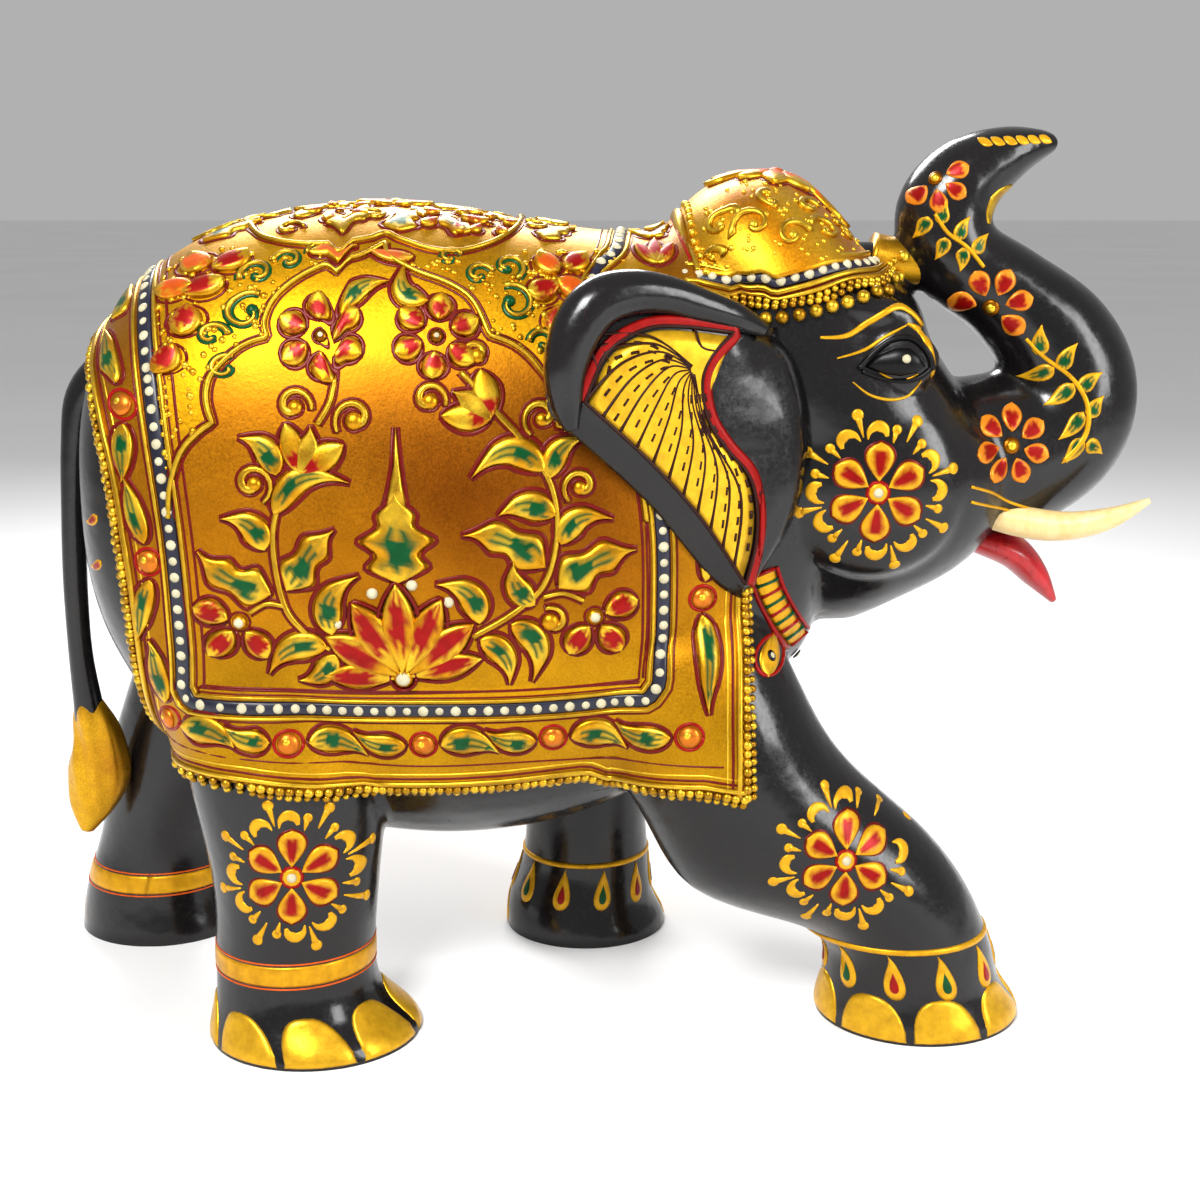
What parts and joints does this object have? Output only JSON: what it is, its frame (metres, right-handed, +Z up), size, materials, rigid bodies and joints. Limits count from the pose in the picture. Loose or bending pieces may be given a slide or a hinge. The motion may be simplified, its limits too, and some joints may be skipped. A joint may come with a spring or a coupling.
{
  "type": "carved wooden elephant figurine",
  "caption": "Walking elephant statuette with raised trunk, carved and lacquered wood, with an embossed gold saddle cloth and head cap.",
  "frame": {"origin": "centre of the figure's footprint box, on the ground under it", "axes": "+X towards the trunk and tusks, -Y the elephant's right side, +Z up; it stands on z = 0"},
  "size_m": [0.2076, 0.0878, 0.1612],
  "materials": {
    "black_lacquer": "black gloss lacquer",
    "gold_paint": "raised gesso paste with metallic gold paint",
    "navy_paint": "navy enamel paint",
    "ivory_paint": "ivory paint, satin",
    "red_paint": "red enamel paint, gloss",
    "bare_wood": "bare wood"
  },
  "bodies": {
    "root": {"torso": "black_lacquer", "head": "black_lacquer", "front_right_leg": "black_lacquer", "hind_right_leg": "black_lacquer", "front_left_leg": "black_lacquer", "hind_left_leg": "black_lacquer", "right_ear": "black_lacquer", "left_ear": "black_lacquer", "tail": "black_lacquer", "right_tusk": "ivory_paint", "left_tusk": "ivory_paint", "tongue": "red_paint", "front_right_leg_dowel": "bare_wood", "hind_right_leg_dowel": "bare_wood", "front_left_leg_dowel": "bare_wood", "hind_left_leg_dowel": "bare_wood", "neck_dowel": "bare_wood", "right_ear_dowel": "bare_wood", "left_ear_dowel": "bare_wood", "saddle_cloth": "gold_paint", "saddle_fringe": "gold_paint", "pearl_band": "navy_paint", "head_cap": "gold_paint", "right_cap_band": "navy_paint", "left_cap_band": "navy_paint", "right_cap_fringe": "gold_paint", "left_cap_fringe": "gold_paint", "right_necklace": "gold_paint", "left_necklace": "gold_paint"}
  },
  "joints": []
}
